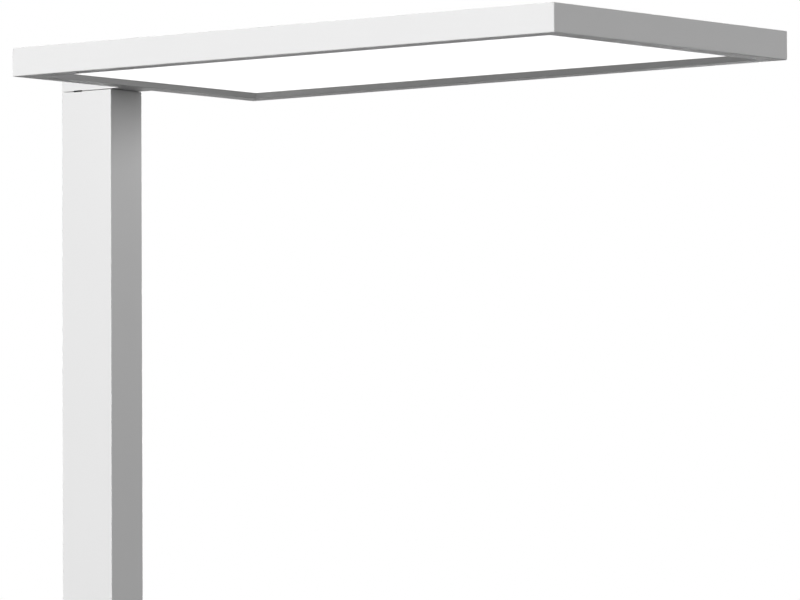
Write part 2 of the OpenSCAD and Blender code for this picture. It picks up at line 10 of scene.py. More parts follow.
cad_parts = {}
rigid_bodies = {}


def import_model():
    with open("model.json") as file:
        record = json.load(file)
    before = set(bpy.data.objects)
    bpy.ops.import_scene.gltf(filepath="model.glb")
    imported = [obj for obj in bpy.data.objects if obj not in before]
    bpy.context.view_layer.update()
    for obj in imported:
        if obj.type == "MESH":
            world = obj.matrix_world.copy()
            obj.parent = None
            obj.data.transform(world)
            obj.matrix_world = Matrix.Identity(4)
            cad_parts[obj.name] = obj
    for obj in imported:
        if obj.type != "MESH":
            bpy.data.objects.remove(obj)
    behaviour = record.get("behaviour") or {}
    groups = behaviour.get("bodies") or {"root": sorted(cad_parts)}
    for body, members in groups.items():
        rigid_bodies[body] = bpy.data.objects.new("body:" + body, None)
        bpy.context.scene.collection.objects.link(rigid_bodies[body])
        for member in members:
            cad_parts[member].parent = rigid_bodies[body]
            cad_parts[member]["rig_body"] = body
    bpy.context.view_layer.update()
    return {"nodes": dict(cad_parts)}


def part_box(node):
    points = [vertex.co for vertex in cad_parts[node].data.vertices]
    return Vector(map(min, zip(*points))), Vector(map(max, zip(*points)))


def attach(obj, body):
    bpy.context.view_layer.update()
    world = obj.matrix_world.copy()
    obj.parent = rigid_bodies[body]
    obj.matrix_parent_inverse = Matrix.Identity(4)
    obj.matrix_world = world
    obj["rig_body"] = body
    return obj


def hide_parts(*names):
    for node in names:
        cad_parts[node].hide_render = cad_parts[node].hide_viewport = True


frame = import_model()
NODES = frame["nodes"]
SCENE = bpy.context.scene

# the frame's own sizes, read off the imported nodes
RF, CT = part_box("rail_front"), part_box("column_tube")
HX0, HX1 = RF[0].x, RF[1].x
HW = -RF[0].y
HZ, TOP = RF[0].z, RF[1].z
CX0, CX1, CW, CTOP = CT[0].x, CT[1].x, CT[1].y, CT[1].z
XC = (CX0 + CX1) / 2
HXM = (HX0 + HX1) / 2


# ------------------------------------------------------------------ camera
def place_camera():
    a, pitch, roll = math.radians(38.831813), math.radians(3.518997), math.radians(-0.272791)
    right = Vector((math.cos(a), math.sin(a), 0))
    ahead = Vector((-math.sin(a), math.cos(a), 0))
    up = Vector((0, 0, 1))
    corner = Vector((HX1, -HW, HZ))
    at = corner - 0.612572774 * (0.216403 * right + 10.198443 * ahead + up)
    look = math.cos(pitch) * ahead + math.sin(pitch) * up
    tilt = -math.sin(pitch) * ahead + math.cos(pitch) * up
    cx = math.cos(roll) * right + math.sin(roll) * tilt
    cy = -math.sin(roll) * right + math.cos(roll) * tilt
    cam = bpy.data.objects.new("camera", bpy.data.cameras.new("camera"))
    SCENE.collection.objects.link(cam)
    cam.data.sensor_width = 36
    cam.data.lens = 330.7654
    cam.data.clip_start, cam.data.clip_end = 0.05, 400
    cam.matrix_world = Matrix(
        (
            (cx.x, cy.x, -look.x, at.x),
            (cx.y, cy.y, -look.y, at.y),
            (cx.z, cy.z, -look.z, at.z),
            (0, 0, 0, 1),
        )
    )
    SCENE.camera = cam
    return look


AHEAD = place_camera()


# ------------------------------------------------------------------ materials
class Mat:
    """A small helper that builds a node material and keeps its tree tidy."""

    def __init__(self, name):
        self.m = bpy.data.materials.new(name)
        self.m.use_nodes = True
        self.t = self.m.node_tree
        self.t.nodes.clear()
        self.out = self.t.nodes.new("ShaderNodeOutputMaterial")
        self.p = self.t.nodes.new("ShaderNodeBsdfPrincipled")
        self.link(self.p.outputs[0], self.out.inputs["Surface"])
        self.co = self.t.nodes.new("ShaderNodeTexCoord").outputs["Object"]

    def link(self, a, b):
        self.t.links.new(a, b)

    def set(self, **values):
        for k, v in values.items():
            self.p.inputs[k.replace("_", " ")].default_value = v
        return self

    def scaled(self, sx, sy, sz, rot=(0, 0, 0)):
        n = self.t.nodes.new("ShaderNodeMapping")
        n.inputs["Scale"].default_value = (sx, sy, sz)
        n.inputs["Rotation"].default_value = rot
        self.link(self.co, n.inputs["Vector"])
        return n.outputs["Vector"]

    def noise(self, scale, detail=2.0, rough=0.5, vector=None, distortion=0.0):
        n = self.t.nodes.new("ShaderNodeTexNoise")
        n.inputs["Scale"].default_value = scale
        n.inputs["Detail"].default_value = detail
        n.inputs["Roughness"].default_value = rough
        n.inputs["Distortion"].default_value = distortion
        self.link(vector or self.co, n.inputs["Vector"])
        return n.outputs["Fac"]

    def voronoi(self, scale, feature="F1", vector=None, randomness=1.0):
        n = self.t.nodes.new("ShaderNodeTexVoronoi")
        n.feature = feature
        n.inputs["Scale"].default_value = scale
        n.inputs["Randomness"].default_value = randomness
        self.link(vector or self.co, n.inputs["Vector"])
        return n.outputs["Distance"]

    def wave(self, scale, direction="X", kind="BANDS", vector=None, distortion=0.0):
        n = self.t.nodes.new("ShaderNodeTexWave")
        n.wave_type = kind
        if kind == "BANDS":
            n.bands_direction = direction
        else:
            n.rings_direction = direction
        n.inputs["Scale"].default_value = scale
        n.inputs["Distortion"].default_value = distortion
        self.link(vector or self.co, n.inputs["Vector"])
        return n.outputs["Fac"]

    def range(self, value, lo, hi, a=0.0, b=1.0):
        n = self.t.nodes.new("ShaderNodeMapRange")
        for i, v in enumerate((a, b, lo, hi), 1):
            n.inputs[i].default_value = v
        self.link(value, n.inputs["Value"])
        return n.outputs["Result"]

    def math(self, op, a, b=None):
        n = self.t.nodes.new("ShaderNodeMath")
        n.operation = op
        for i, v in enumerate((a, b)):
            if v is None:
                continue
            if isinstance(v, (int, float)):
                n.inputs[i].default_value = v
            else:
                self.link(v, n.inputs[i])
        return n.outputs[0]

    def mix(self, fac, a, b):
        n = self.t.nodes.new("ShaderNodeMix")
        n.data_type = "RGBA"
        self.link(fac, n.inputs[0])
        for i, v in ((6, a), (7, b)):
            if isinstance(v, tuple):
                n.inputs[i].default_value = (*v, 1)
            else:
                self.link(v, n.inputs[i])
        return n.outputs[2]

    def color(self, out):
        self.link(out, self.p.inputs["Base Color"])
        return self

    def rough(self, out):
        self.link(out, self.p.inputs["Roughness"])
        return self

    def bump(self, *layers):
        """layers of (height, strength, distance in metres)"""
        last = None
        for height, strength, distance in layers:
            n = self.t.nodes.new("ShaderNodeBump")
            n.inputs["Strength"].default_value = strength
            n.inputs["Distance"].default_value = distance
            self.link(height, n.inputs["Height"])
            if last is not None:
                self.link(last, n.inputs["Normal"])
            last = n.outputs["Normal"]
        self.link(last, self.p.inputs["Normal"])
        return self


def inside(m, lo, hi):
    """1 within a box of the object's own coordinates, else 0."""
    n = m.t.nodes.new("ShaderNodeSeparateXYZ")
    m.link(m.co, n.inputs[0])
    fac = None
    for i in range(3):
        for op, v in (("GREATER_THAN", lo[i]), ("LESS_THAN", hi[i])):
            one = m.math(op, n.outputs[i], v)
            fac = one if fac is None else m.math("MULTIPLY", fac, one)
    return fac


def powder(name, tint, grain=1.0, rough=0.44, painted_shade_box=None):
    """Satin powder coat: a faint orange peel, finer grain on it and a barely uneven tone. The optional box, in the
    object's own coordinates, marks the inside of a notch, which is painted near-black as painted shade for the
    slot's shadow.
    """
    m = Mat(name)
    dark = tuple(c * 0.985 for c in tint)
    light = tuple(min(1.0, c * 1.012) for c in tint)
    cloud = m.noise(7.0, 3.0, 0.55)
    speck = m.noise(1500.0 / grain, 2.0, 0.6)
    coat = m.mix(m.math("ADD", m.math("MULTIPLY", cloud, 0.65), m.math("MULTIPLY", speck, 0.35)), dark, light)
    # inside the notch box the coat's colour gives way to near-black painted shade
    m.color(m.mix(inside(m, *painted_shade_box), coat, (0.02, 0.02, 0.021)) if painted_shade_box else coat)
    m.rough(m.range(m.noise(38.0, 3.0), rough - 0.03, rough + 0.04, 0.25, 0.75))
    m.set(IOR=1.48)
    peel = m.noise(420.0 / grain, 2.0, 0.5)
    fine = m.noise(2600.0 / grain, 2.0, 0.6)
    m.bump((peel, 0.35, 0.00003 * grain), (fine, 0.3, 0.000008 * grain))
    return m.m


def plastic(name, tint, rough=0.45, grain=1800.0, depth=0.00001, spread=0.02):
    """Moulded plastic with a spark-eroded grain."""
    m = Mat(name)
    dark = tuple(c * (1 - spread) for c in tint)
    light = tuple(min(1.0, c * (1 + spread)) for c in tint)
    m.color(m.mix(m.noise(60.0, 3.0, 0.6), dark, light))
    m.rough(m.range(m.noise(grain * 0.6, 2.0), rough - 0.05, rough + 0.06, 0.2, 0.8))
    m.set(IOR=1.5)
    m.bump((m.voronoi(grain), 0.35, depth), (m.noise(grain * 2.4, 2.0), 0.25, depth * 0.4))
    return m.m


def metal(name, tint, rough=0.3, lines=(1, 1, 1), line_scale=900.0, depth=0.000006, spread=0.08):
    """Bare metal with the marks of its making; lines is the stretch of the marks along each axis."""
    m = Mat(name)
    v = m.scaled(*lines)
    marks = m.noise(line_scale, 3.0, 0.65, vector=v)
    m.color(m.mix(marks, tuple(c * (1 - spread) for c in tint), tuple(min(1.0, c * (1 + spread)) for c in tint)))
    m.rough(m.range(m.math("ADD", m.math("MULTIPLY", marks, 0.6), m.math("MULTIPLY", m.noise(45.0, 4.0), 0.4)), rough - 0.08, rough + 0.1, 0.25, 0.75))
    m.set(Metallic=1.0)
    m.bump((marks, 0.4, depth))
    return m.m


def turned(name, tint, rough, centre, pitch=0.00035):
    """Metal turned on a lathe about a vertical axis: fine rings."""
    m = Mat(name)
    n = m.t.nodes.new("ShaderNodeMapping")
    n.inputs["Location"].default_value = (-centre[0], -centre[1], 0)
    m.link(m.co, n.inputs["Vector"])
    rings = m.wave(1 / pitch / 6.28, "Z", "RINGS", vector=n.outputs["Vector"], distortion=0.4)
    bands = m.wave(1 / pitch / 6.28, "Z", "BANDS", vector=n.outputs["Vector"], distortion=0.4)
    marks = m.math("MULTIPLY", m.math("ADD", rings, bands), 0.5)
    m.color(m.mix(marks, tuple(c * 0.93 for c in tint), tint))
    m.rough(m.range(marks, rough - 0.06, rough + 0.08))
    m.set(Metallic=1.0)
    m.bump((marks, 0.35, 0.000006))
    return m.m


def make_materials():
    k = {}
    # the lever notch in the joint between the column and the neck; its inside is painted near-black on the white
    # coat, a painted shade for the shadow in the slot
    middle, joint = CX0 + 0.020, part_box("neck")[0].z
    notch = ((middle - 0.0053, -CW + 0.0002, CTOP - 0.0006), (middle + 0.0053, -CW + 0.002, joint + 0.0006))
    k["white_powder_coat"] = powder("white_powder_coat", (0.842, 0.842, 0.842), painted_shade_box=notch)
    k["base_powder_coat"] = powder("base_powder_coat", (0.835, 0.835, 0.835), grain=1.5, rough=0.5)

    m = Mat("glide_rubber")
    m.color(m.mix(m.noise(500.0, 4.0, 0.7), (0.032, 0.032, 0.033), (0.055, 0.055, 0.056)))
    m.rough(m.range(m.noise(120.0, 3.0), 0.72, 0.88))
    m.bump((m.noise(1400.0, 4.0, 0.7), 0.6, 0.00004), (m.wave(180.0, "Z"), 0.15, 0.00003))
    k["glide_rubber"] = m.m

    k["zinc_steel"] = metal("zinc_steel", (0.63, 0.64, 0.66), 0.32, (1, 1, 1), 700.0, 0.000005, 0.05)
    k["raw_aluminium"] = metal("raw_aluminium", (0.77, 0.77, 0.78), 0.36, (0.04, 1, 1), 1100.0)
    k["turned_steel"] = turned("turned_steel", (0.6, 0.6, 0.61), 0.28, (XC, 0))
    k["bronze_washer"] = turned("bronze_washer", (0.66, 0.43, 0.2), 0.34, (XC, 0), 0.0005)
    k["nickel_pins"] = metal("nickel_pins", (0.72, 0.71, 0.68), 0.2, (0.05, 1, 1), 1500.0, 0.000003, 0.04)

    m = Mat("white_screws")
    m.color(m.mix(m.noise(900.0, 3.0), (0.79, 0.79, 0.79), (0.83, 0.83, 0.83)))
    m.rough(m.range(m.noise(300.0, 2.0), 0.36, 0.48))
    m.bump((m.noise(1600.0, 2.0), 0.3, 0.00001))
    k["white_screws"] = m.m

    k["black_plastic"] = plastic("black_plastic", (0.022, 0.022, 0.023), 0.42, 1500.0, 0.000014, 0.12)
    k["bezel_plastic"] = plastic("bezel_plastic", (0.58, 0.585, 0.59), 0.42, 1700.0, 0.000010)
    k["button_plastic"] = plastic("button_plastic", (0.80, 0.80, 0.80), 0.38, 2400.0, 0.000006, 0.01)
    k["bush_plastic"] = plastic("bush_plastic", (0.035, 0.036, 0.038), 0.5, 900.0, 0.000008, 0.1)
    k["terminal_plastic"] = plastic("terminal_plastic", (0.70, 0.68, 0.60), 0.4, 1500.0, 0.000008)
    k["driver_case"] = plastic("driver_case", (0.72, 0.73, 0.74), 0.4, 1200.0, 0.000014)

    m = Mat("grey_lead")
    m.color(m.mix(m.noise(220.0, 3.0), (0.10, 0.10, 0.105), (0.14, 0.14, 0.145)))
    m.rough(m.range(m.noise(400.0, 2.0), 0.45, 0.6))
    m.bump((m.wave(90.0, "Z", distortion=2.0), 0.12, 0.00003), (m.noise(1500.0, 2.0), 0.3, 0.00001))
    k["grey_lead"] = m.m

    m = Mat("wire_insulation")
    m.color(m.mix(m.noise(300.0, 2.0), (0.42, 0.035, 0.03), (0.50, 0.05, 0.04)))
    m.rough(m.range(m.noise(700.0, 2.0), 0.33, 0.45))
    m.bump((m.noise(1800.0, 2.0), 0.25, 0.000006))
    k["wire_insulation"] = m.m

    def board(name, mask, mask2, trace):
        """A printed board: solder mask with tracks that stand a little proud of it."""
        m = Mat(name)
        v = m.scaled(1, 1, 1)
        tracks = m.t.nodes.new("ShaderNodeTexBrick")
        tracks.inputs["Scale"].default_value = 130.0
        tracks.inputs["Mortar Size"].default_value = 0.035
        tracks.inputs["Color1"].default_value = (*mask, 1)
        tracks.inputs["Color2"].default_value = (*mask2, 1)
        tracks.inputs["Mortar"].default_value = (*trace, 1)
        m.link(v, tracks.inputs["Vector"])
        m.color(m.mix(m.range(m.noise(500.0, 2.0), 0.0, 0.15), tracks.outputs["Color"], mask2))
        m.rough(m.range(m.noise(300.0, 2.0), 0.28, 0.42))
        m.bump((tracks.outputs["Fac"], 0.4, 0.00003))
        return m.m

    k["green_board"] = board("green_board", (0.01, 0.13, 0.045), (0.012, 0.15, 0.05), (0.02, 0.22, 0.07))
    k["led_board"] = board("led_board", (0.76, 0.76, 0.74), (0.80, 0.80, 0.78), (0.66, 0.66, 0.62))

    m = Mat("grey_foam")
    cells = m.voronoi(1100.0)
    m.color(m.mix(cells, (0.10, 0.10, 0.105), (0.24, 0.24, 0.245)))
    m.rough(m.range(cells, 0.85, 0.98))
    m.bump((cells, 0.9, 0.00025))
    k["grey_foam"] = m.m

    m = Mat("reflector_white")
    m.color(m.mix(m.noise(80.0, 3.0), (0.86, 0.86, 0.86), (0.90, 0.90, 0.90)))
    m.rough(m.range(m.noise(900.0, 2.0), 0.5, 0.66))
    m.bump((m.noise(1600.0, 3.0), 0.3, 0.000008))
    k["reflector_white"] = m.m

    m = Mat("clear_acrylic")
    dots = m.voronoi(420.0, randomness=0.0)
    m.color(m.mix(m.range(dots, 0.0, 1.0, 0.2, 0.5), (0.96, 0.97, 0.97), (0.88, 0.90, 0.90)))
    m.rough(m.range(dots, 0.28, 0.06, 0.2, 0.5))
    m.set(IOR=1.49, Transmission_Weight=0.85)
    m.bump((dots, 0.2, 0.00002))
    k["clear_acrylic"] = m.m

    def opal(name, glow):
        """Lit opal acrylic: an even glow through a satin skin with a very fine prism grain."""
        m = Mat(name)
        cloud = m.noise(5.0, 3.0)
        m.color(m.mix(cloud, (0.84, 0.84, 0.84), (0.88, 0.88, 0.88)))
        m.rough(m.range(m.noise(900.0, 2.0), 0.42, 0.56))
        m.set(IOR=1.49, Emission_Color=(1, 1, 1, 1))
        grain = m.voronoi(900.0, randomness=0.25)
        m.link(m.math("MULTIPLY", m.range(cloud, glow * 0.99, glow * 1.01, 0.3, 0.7), m.range(grain, 1.0, 0.985, 0.0, 0.6)), m.p.inputs["Emission Strength"])
        m.bump((grain, 0.15, 0.00001))
        return m.m

    k["opal_diffuser"] = opal("opal_diffuser", 1.02)
    k["uplight_opal"] = opal("uplight_opal", 1.0)

    m = Mat("symbol_ink")
    m.color(m.mix(m.noise(700.0, 3.0), (0.10, 0.10, 0.105), (0.15, 0.15, 0.155)))
    m.rough(m.range(m.noise(900.0, 2.0), 0.38, 0.5))
    m.bump((m.noise(2600.0, 2.0), 0.3, 0.000004))
    k["symbol_ink"] = m.m
    return k


BODY_OF = {n: o["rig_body"] for n, o in NODES.items()}
SLOT_OF = {n: o.material_slots[0].material.name.split(".")[0] for n, o in NODES.items()}
for plain in list(bpy.data.materials):
    plain.name = "plain_" + plain.name
K = make_materials()
for n, o in NODES.items():
    for s in o.material_slots:
        s.material = K[SLOT_OF[n]]


# ------------------------------------------------------------------ mesh helpers
def new_object(name, bm, material, sharp=34.0, weighted=True):
    me = bpy.data.meshes.new(name)
    bmesh.ops.recalc_face_normals(bm, faces=bm.faces)
    for f in bm.faces:
        f.smooth = True
    limit = math.radians(sharp)
    for e in bm.edges:
        e.smooth = not (len(e.link_faces) != 2 or e.calc_face_angle(0) > limit)
    bm.to_mesh(me)
    bm.free()
    o = bpy.data.objects.new(name, me)
    SCENE.collection.objects.link(o)
    me.materials.append(material)
    if weighted:
        w = o.modifiers.new("normals", "WEIGHTED_NORMAL")
        w.mode = "FACE_AREA"
        w.weight = 60
        w.keep_sharp = True
    return o


def put(o, node, body=None, *more):
    """The piece stands in for the CAD node, which it hides, and moves with its body."""
    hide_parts(node, *more)
    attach(o, body or BODY_OF[node])
    return o


def cad_bmesh(node):
    """The node's solid as a welded mesh with its flat faces joined up."""
    bm = bmesh.new()
    bm.from_mesh(NODES[node].data)
    bmesh.ops.remove_doubles(bm, verts=bm.verts, dist=2e-6)
    bmesh.ops.dissolve_degenerate(bm, edges=bm.edges, dist=1e-7)
    bmesh.ops.dissolve_limit(bm, angle_limit=math.radians(0.2), verts=bm.verts, edges=bm.edges)
    return bm


def round_edges(bm, pick, width, segments=3, least=20.0):
    """Rounds the sharp edges whose two ends pick accepts."""
    limit = math.radians(least)
    edges = [
        e
        for e in bm.edges
        if len(e.link_faces) == 2 and e.calc_face_angle(0) > limit and all(pick(v.co) for v in e.verts)
    ]
    if edges:
        bmesh.ops.bevel(
            bm,
            geom=edges,
            offset=width,
            offset_type="OFFSET",
            segments=segments,
            profile=0.5,
            affect="EDGES",
            clamp_overlap=True,
        )
    return len(edges)


def near(a, b, tol=2e-5):
    return abs(a - b) < tol


def finish_cad(name, node, bm, sharp=34.0):
    for f in list(bm.faces):
        if len(f.verts) > 4:
            bmesh.ops.triangulate(bm, faces=[f])
    o = new_object(name, bm, NODES[node].material_slots[0].material, sharp)
    return put(o, node)


# ------------------------------------------------------------------ head rails
BAND, WALL, RECESS = 0.019, 0.002, 0.0055
CORNER_R = 0.001


def rounded_profile(points):
    """points of (u, z, radius) into a closed outline with its corners rounded."""
    out = []
    n = len(points)
    for i, (u, z, r) in enumerate(points):
        p = Vector((u, z))
        if r <= 0:
            out.append((u, z))
            continue
        a = Vector(points[i - 1][:2]) - p
        b = Vector(points[(i + 1) % n][:2]) - p
        a.normalize()
        b.normalize()
        c = p + (a + b) * r
        steps = 4
        for k in range(steps + 1):
            t = math.pi / 2 * k / steps
            d = -b * math.cos(t) - a * math.sin(t)
            out.append(tuple(c + d * r))
    return out


def rail_profile(rib):
    h = TOP - HZ
    ledge = h - 0.003
    car = 0.0135
    pts = [
        (0, 0, 0.001),
        (BAND, 0, 0.0004),
        (BAND, RECESS, 0.0003),
        (BAND - 0.0015, RECESS, 0.0002),
        (BAND - 0.0015, WALL, 0),
        (WALL, WALL, 0),
    ]
    if rib:
        pts += [(WALL, car - 0.001, 0), (WALL + 0.003, car - 0.001, 0), (WALL + 0.003, car, 0), (WALL, car, 0)]
    pts += [
        (WALL, ledge, 0),
        (0.010, ledge, 0),
        (0.010, ledge + 0.0015, 0),
        (WALL, ledge + 0.0015, 0),
        (WALL, h, 0.0003),
        (0, h, 0.0005),
    ]
    return rounded_profile(pts)


def rail_mesh(length, rib):
    """A mitred rail from x = 0 to length, its outer face on y = 0, with the frame's outer corners rounded."""
    prof = rail_profile(rib)
    steps = 4
    stations = []
    for k in range(steps + 1):
        t = k / steps
        phi = math.radians(45) * (1 - t)
        row = []
        for u, z in prof:
            if u < CORNER_R:
                r = CORNER_R - u
                row.append((CORNER_R - r * math.sin(phi), CORNER_R - r * math.cos(phi), z))
            else:
                row.append((u + t * CORNER_R, u, z))
        stations.append(row)
    stations += [[(length - x, y, z) for x, y, z in row] for row in reversed(stations)]
    bm = bmesh.new()
    rows = [[bm.verts.new(p) for p in row] for row in stations]
    n = len(prof)
    for a, b in zip(rows, rows[1:]):
        for i in range(n):
            j = (i + 1) % n
            bm.faces.new((a[i], a[j], b[j], b[i]))
    for cap in (rows[0], rows[-1]):
        bm.faces.new(cap)
    bm.normal_update()
    return bm


def cylinder_cutter(at, axis, length, r, n=28):
    bm = bmesh.new()
    bmesh.ops.create_cone(bm, cap_ends=True, segments=n, radius1=r, radius2=r, depth=length)
    turn = Vector((0, 0, 1)).rotation_difference(Vector(axis)).to_matrix().to_4x4()
    bmesh.ops.transform(bm, matrix=Matrix.Translation(at) @ turn, verts=bm.verts)
    me = bpy.data.meshes.new("cutter")
    bm.to_mesh(me)
    bm.free()
    return me


def box_cutter(lo, hi):
    bm = bmesh.new()
    bmesh.ops.create_cube(bm, size=1)
    lo, hi = Vector(lo), Vector(hi)
    size = hi - lo
    bmesh.ops.transform(bm, matrix=Matrix.Translation((lo + hi) / 2) @ Matrix.Diagonal((*size, 1)), verts=bm.verts)
    me = bpy.data.meshes.new("cutter")
    bm.to_mesh(me)
    bm.free()
    return me


def cut(bm, cutters):
    """Cuts closed shapes out of a mesh, with Blender's exact boolean."""
    if not cutters:
        return bm
    me = bpy.data.meshes.new("work")
    bm.to_mesh(me)
    bm.free()
    o = bpy.data.objects.new("work", me)
    SCENE.collection.objects.link(o)
    tools = []
    for c in cutters:
        t = bpy.data.objects.new("tool", c)
        SCENE.collection.objects.link(t)
        tools.append(t)
        b = o.modifiers.new("cut", "BOOLEAN")
        b.operation = "DIFFERENCE"
        b.solver = "EXACT"
        b.object = t
    dg = bpy.context.evaluated_depsgraph_get()
    made = bpy.data.meshes.new_from_object(o.evaluated_get(dg))
    for x in (o, *tools):
        bpy.data.objects.remove(x)
    out = bmesh.new()
    out.from_mesh(made)
    bpy.data.meshes.remove(made)
    bmesh.ops.remove_doubles(out, verts=out.verts, dist=1e-7)
    return out


def rails():
    h = TOP - HZ
    zc = HZ + h - 0.0023
    length, width = HX1 - HX0, 2 * HW
    key = []
    for sx in (0, 1):
        for sy in (-1, 1):
            for k in (0, 1):
                dx, dy = (0.032, 0.006) if k == 0 else (0.006, 0.032)
                key.append((HX0 + dx if sx == 0 else HX1 - dx, sy * (HW - dy)))
    mid = [(HX0 + length * f, s * (HW - 0.006)) for f in (0.36, 0.64) for s in (-1, 1)]

    def screws(test):
        return [cylinder_cutter((x, y, zc), (0, 0, 1), 0.0025, 0.0015) for x, y in key + mid if test(x, y)]

    wire_x = HX0 + 0.081
    made = []
    for name, turn, reach, rib, cutters in (
        ("rail_front", Matrix.Translation((HX0, -HW, HZ)), length, True, None),
        ("rail_rear", Matrix.Translation((HX1, HW, HZ)) @ Matrix.Rotation(math.pi, 4, "Z"), length, True, None),
        ("rail_column_end", Matrix.Translation((HX0, HW, HZ)) @ Matrix.Rotation(-math.pi / 2, 4, "Z"), width, False, None),
        ("rail_outer_end", Matrix.Translation((HX1, -HW, HZ)) @ Matrix.Rotation(math.pi / 2, 4, "Z"), width, False, None),
    ):
        bm = rail_mesh(reach, rib)
        bmesh.ops.transform(bm, matrix=turn, verts=bm.verts)
        bmesh.ops.recalc_face_normals(bm, faces=bm.faces)
        if name == "rail_front":
            c = screws(lambda x, y: y < -HW + 0.01)
            c.append(box_cutter((wire_x - 0.004, -HW + WALL, HZ + 0.0115), (wire_x + 0.004, -HW + WALL + 0.0041, HZ + 0.014)))
        elif name == "rail_rear":
            c = screws(lambda x, y: y > HW - 0.01)
            c.append(box_cutter((wire_x - 0.004, HW - WALL - 0.0041, HZ + 0.0115), (wire_x + 0.004, HW - WALL, HZ + 0.014)))
        elif name == "rail_column_end":
            c = screws(lambda x, y: x < HX0 + 0.01)
            for y in (-0.013, 0.013):
                for z in (0.011, 0.0185):
                    c.append(cylinder_cutter((HX0 + 0.001, y, HZ + z), (1, 0, 0), 0.004, 0.0021))
            c.append(cylinder_cutter((HX0 + 0.001, 0, HZ + 0.0185), (1, 0, 0), 0.004, 0.0032))
        else:
            c = screws(lambda x, y: x > HX1 - 0.01)
        bm = cut(bm, c)
        o = new_object(name + "_skin", bm, K["white_powder_coat"], 30.0)
        made.append(put(o, name))
    return made


rails()


# ------------------------------------------------------------------ column, neck and base
def column():
    bm = cad_bmesh("column_tube")
    out = lambda c: near(c.z, CTOP) and (c.x < CX0 + 0.0016 or c.x > CX1 - 0.0016 or abs(c.y) > CW - 0.0016)
    round_edges(bm, out, 0.00035, 2)
    finish_cad("column_skin", "column_tube", bm)


def neck():
    lo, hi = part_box("neck")
    bm = cad_bmesh("neck")
    rear = lambda c: near(c.x, lo.x) and near(abs(c.y), CW)
    round_edges(bm, rear, 0.0008, 5)
    edge = lambda c: c.x < lo.x + 0.0009 or near(abs(c.y), CW, 9e-4) or near(c.x, hi.x)
    round_edges(bm, lambda c: near(c.z, hi.z) and edge(c), 0.0005, 3)
    round_edges(bm, lambda c: near(c.z, lo.z) and edge(c), 0.00035, 2)
    finish_cad("neck_skin", "neck", bm)
    lo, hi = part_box("neck_cap")
    bm = cad_bmesh("neck_cap")
    rim = lambda c: near(c.z, hi.z) and (near(c.x, lo.x) or near(c.x, hi.x) or near(abs(c.y), hi.y))
    round_edges(bm, rim, 0.0003, 2)
    finish_cad("neck_cap_skin", "neck_cap", bm)


def base():
    lo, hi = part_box("base_plate")
    bm = cad_bmesh("base_plate")
    rim = lambda c: c.x < lo.x + 0.0042 or c.x > hi.x - 0.0042 or abs(c.y) > hi.y - 0.0042
    round_edges(bm, lambda c: near(c.z, hi.z) and rim(c), 0.0010, 4)
    round_edges(bm, lambda c: near(c.z, lo.z) and rim(c), 0.0005, 2)
    finish_cad("base_plate_skin", "base_plate", bm)
    lo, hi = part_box("glides")
    bm = cad_bmesh("glides")
    round_edges(bm, lambda c: near(c.z, lo.z), 0.0007, 3)
    finish_cad("glides_skin", "glides", bm)


def tops():
    lo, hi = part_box("top_cover")
    bm = cad_bmesh("top_cover")
    rim = lambda c: near(c.x, lo.x) or near(c.x, hi.x) or near(abs(c.y), hi.y)
    round_edges(bm, lambda c: near(c.z, hi.z) and rim(c), 0.0004, 2)
    window = lambda c: near(c.z, hi.z) and abs(c.x - HXM) < 0.24 and abs(c.y) < 0.08
    round_edges(bm, lambda c: window(c), 0.0003, 2, 60.0)
    finish_cad("top_cover_skin", "top_cover", bm)
    lo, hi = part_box("uplight_lens")
    bm = cad_bmesh("uplight_lens")
    round_edges(bm, lambda c: near(c.z, hi.z), 0.0003, 2)
    finish_cad("uplight_lens_skin", "uplight_lens", bm)
    lo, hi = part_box("diffuser")
    bm = cad_bmesh("diffuser")
    round_edges(bm, lambda c: near(c.z, lo.z), 0.0002, 2)
    o = finish_cad("diffuser_skin", "diffuser", bm)
    # the soft box just under it gives the panel's light, at a strength that suits the bright studio
    o.visible_diffuse = o.visible_glossy = o.visible_transmission = False
    return o


column()
neck()
base()
tops()


# ------------------------------------------------------------------ controls and inlet
def controls():
    lo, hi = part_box("control_bezel")
    bm = cad_bmesh("control_bezel")
    outer = lambda c: near(c.x, hi.x) and (abs(c.y) ** 2 + max(0.0, abs(c.z - (lo.z + hi.z) / 2) - 0.033) ** 2) > 0.0125**2
    round_edges(bm, outer, 0.0006, 3)
    finish_cad("control_bezel_skin", "control_bezel", bm)
    made = {}
    for which in ("brighter", "power", "dimmer"):
        node = "button_" + which
        lo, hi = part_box(node)
        zc = (lo.z + hi.z) / 2
        # turned outline (radius, x), from the middle of a shallow finger dish round to the stem
        face, r = hi.x, 0.0071
        outline = [(0.0, face - 0.00045)]
        for k in range(1, 9):
            q = k / 8 * 0.0058
            outline.append((q, face - 0.00045 * (1 - (q / 0.0058) ** 2)))
        for k in range(0, 5):
            t = math.pi / 2 * k / 4
            outline.append((r - 0.0006 + 0.0006 * math.sin(t), face - 0.0006 + 0.0006 * math.cos(t)))
        outline += [(r, face - 0.00415), (0.008, face - 0.00415), (0.008, face - 0.0053), (0.0016, face - 0.0053), (0.0016, lo.x), (0.0, lo.x)]
        n = 56
        bm = bmesh.new()
        rings = []
        for q, x in outline:
            if q == 0.0:
                rings.append([bm.verts.new((x, 0, zc))])
            else:
                rings.append([bm.verts.new((x, q * math.cos(2 * math.pi * i / n), zc + q * math.sin(2 * math.pi * i / n))) for i in range(n)])
        for a, b in zip(rings, rings[1:]):
            for i in range(n):
                j = (i + 1) % n
                if len(a) == 1:
                    bm.faces.new((a[0], b[i], b[j]))
                elif len(b) == 1:
                    bm.faces.new((a[i], b[0], a[j]))
                else:
                    bm.faces.new((a[i], b[i], b[j], a[j]))
        o = new_object(node + "_skin", bm, K["button_plastic"], 40.0)
        made[which] = (put(o, node), face, zc)
    return made


def dish(q, face):
    """Where the dish's surface is, q from its middle."""
    return face - 0.00045 * (1 - min(1.0, q / 0.0058) ** 2)


